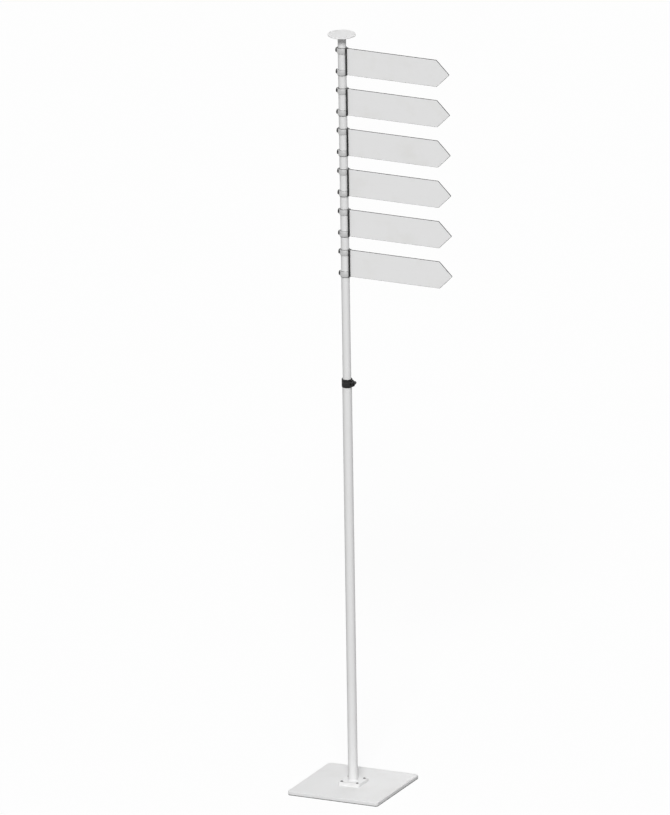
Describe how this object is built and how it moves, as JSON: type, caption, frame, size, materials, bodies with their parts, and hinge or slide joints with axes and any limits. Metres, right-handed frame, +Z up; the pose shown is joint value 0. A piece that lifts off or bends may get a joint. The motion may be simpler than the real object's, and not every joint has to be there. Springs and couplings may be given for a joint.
{
  "type": "telescopic floor sign stand",
  "caption": "Floor stand with a square base, a two-stage mast with a lever clamp, and flat arrow boards that turn and slide on ring clips.",
  "frame": {"origin": "on the mast's axis at the underside of the base mat, where the stand meets the floor", "axes": "+Z up along the mast; +X along the boards, from the mast towards their arrow tips, at rest; +Y away from the boards' front faces"},
  "size_m": [0.5915, 0.35, 2.8],
  "materials": {
    "white_coat": "satin powder coat",
    "board_white": "satin white faces on a black core",
    "black_anodised": "matt anodised",
    "clip_alloy": "satin anodised",
    "black_clamp": "matt powder coat",
    "black_steel": "blackened",
    "dark_plastic": "moulded",
    "mat_rubber": "matt"
  },
  "bodies": {
    "root": {"base_plate": "white_coat", "base_mat": "mat_rubber", "mast_flange": "white_coat", "flange_screws": "black_steel", "flange_washers": "black_steel", "lower_tube": "white_coat", "clamp_collar": "black_clamp", "clamp_bolt": "black_steel", "clamp_nut": "black_steel", "cam_saddle": "black_steel", "lever_pin": "black_steel"},
    "lever": {"cam_lever": "black_clamp"},
    "mast_glide": {"mast_glide": "dark_plastic"},
    "mast": {"upper_tube": "white_coat", "cap_plug": "dark_plastic", "cap_disc": "white_coat"},
    "board_1_bushes": {"clip_bushes_1": "dark_plastic"},
    "board_1": {"sign_board_1": "board_white", "edge_profile_1": "black_anodised", "upper_clip_1": "clip_alloy", "lower_clip_1": "clip_alloy", "clip_screws_1": "black_steel"},
    "board_2_bushes": {"clip_bushes_2": "dark_plastic"},
    "board_2": {"sign_board_2": "board_white", "edge_profile_2": "black_anodised", "upper_clip_2": "clip_alloy", "lower_clip_2": "clip_alloy", "clip_screws_2": "black_steel"},
    "board_3_bushes": {"clip_bushes_3": "dark_plastic"},
    "board_3": {"sign_board_3": "board_white", "edge_profile_3": "black_anodised", "upper_clip_3": "clip_alloy", "lower_clip_3": "clip_alloy", "clip_screws_3": "black_steel"},
    "board_4_bushes": {"clip_bushes_4": "dark_plastic"},
    "board_4": {"sign_board_4": "board_white", "edge_profile_4": "black_anodised", "upper_clip_4": "clip_alloy", "lower_clip_4": "clip_alloy", "clip_screws_4": "black_steel"},
    "board_5_bushes": {"clip_bushes_5": "dark_plastic"},
    "board_5": {"sign_board_5": "board_white", "edge_profile_5": "black_anodised", "upper_clip_5": "clip_alloy", "lower_clip_5": "clip_alloy", "clip_screws_5": "black_steel"},
    "board_6_bushes": {"clip_bushes_6": "dark_plastic"},
    "board_6": {"sign_board_6": "board_white", "edge_profile_6": "black_anodised", "upper_clip_6": "clip_alloy", "lower_clip_6": "clip_alloy", "clip_screws_6": "black_steel"}
  },
  "joints": [
    {"name": "lever_hinge", "type": "hinge", "parent": "root", "child": "lever", "pos_m": [0.026, -0.0141, 1.503], "axis": [0, 0, 1], "range_deg": [0, 120]},
    {"name": "mast_slide", "type": "slide", "parent": "root", "child": "mast_glide", "axis": [0, 0, 1], "range_m": [-0.35, 0]},
    {"name": "mast_turn", "type": "hinge", "parent": "mast_glide", "child": "mast", "pos_m": [0, 0, 1.35], "axis": [0, 0, 1], "continuous": true},
    {"name": "board_1_slide", "type": "slide", "parent": "mast", "child": "board_1_bushes", "axis": [0, 0, 1], "range_m": [-0.02, 0.02]},
    {"name": "board_1_turn", "type": "hinge", "parent": "board_1_bushes", "child": "board_1", "pos_m": [0, 0, 2.7], "axis": [0, 0, 1], "continuous": true},
    {"name": "board_2_slide", "type": "slide", "parent": "mast", "child": "board_2_bushes", "axis": [0, 0, 1], "range_m": [-0.02, 0.02]},
    {"name": "board_2_turn", "type": "hinge", "parent": "board_2_bushes", "child": "board_2", "pos_m": [0, 0, 2.55], "axis": [0, 0, 1], "continuous": true},
    {"name": "board_3_slide", "type": "slide", "parent": "mast", "child": "board_3_bushes", "axis": [0, 0, 1], "range_m": [-0.02, 0.02]},
    {"name": "board_3_turn", "type": "hinge", "parent": "board_3_bushes", "child": "board_3", "pos_m": [0, 0, 2.4], "axis": [0, 0, 1], "continuous": true},
    {"name": "board_4_slide", "type": "slide", "parent": "mast", "child": "board_4_bushes", "axis": [0, 0, 1], "range_m": [-0.02, 0.02]},
    {"name": "board_4_turn", "type": "hinge", "parent": "board_4_bushes", "child": "board_4", "pos_m": [0, 0, 2.25], "axis": [0, 0, 1], "continuous": true},
    {"name": "board_5_slide", "type": "slide", "parent": "mast", "child": "board_5_bushes", "axis": [0, 0, 1], "range_m": [-0.02, 0.02]},
    {"name": "board_5_turn", "type": "hinge", "parent": "board_5_bushes", "child": "board_5", "pos_m": [0, 0, 2.1], "axis": [0, 0, 1], "continuous": true},
    {"name": "board_6_slide", "type": "slide", "parent": "mast", "child": "board_6_bushes", "axis": [0, 0, 1], "range_m": [-0.02, 0.02]},
    {"name": "board_6_turn", "type": "hinge", "parent": "board_6_bushes", "child": "board_6", "pos_m": [0, 0, 1.95], "axis": [0, 0, 1], "continuous": true}
  ]
}
